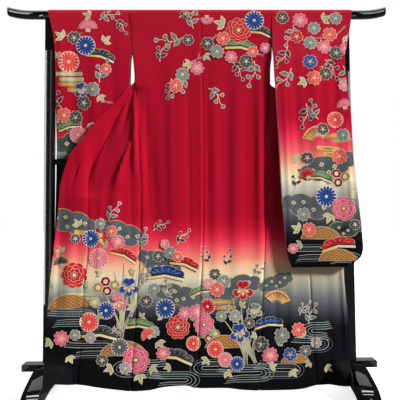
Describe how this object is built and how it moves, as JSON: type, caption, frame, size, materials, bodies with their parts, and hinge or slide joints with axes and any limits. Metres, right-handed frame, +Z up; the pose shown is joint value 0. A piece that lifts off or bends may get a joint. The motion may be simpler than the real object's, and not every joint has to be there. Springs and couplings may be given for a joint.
{
  "type": "furisode kimono on a lacquered kimono rack",
  "caption": "Long-sleeved printed silk kimono hung back-out over a lacquered rack, with both fronts opened out to the sides.",
  "frame": {"origin": "on the floor, under the middle of the rack", "axes": "+X to the right of a viewer who faces the garment's back, +Y away from that viewer, +Z up"},
  "size_m": [1.704, 0.472, 1.706],
  "materials": {
    "silk": "soft dyed silk crepe with a printed pattern and a cream lining",
    "lacquer": "glossy black lacquer"
  },
  "bodies": {
    "root": {"back_left": "silk", "back_right": "silk", "front_left": "silk", "front_right": "silk", "okumi_left": "silk", "okumi_right": "silk", "collar": "silk", "sleeve_left": "silk", "sleeve_right": "silk", "top_bar": "lacquer", "mid_bar": "lacquer", "lower_bar": "lacquer", "post_left": "lacquer", "post_right": "lacquer", "foot_left": "lacquer", "foot_right": "lacquer"}
  },
  "joints": []
}
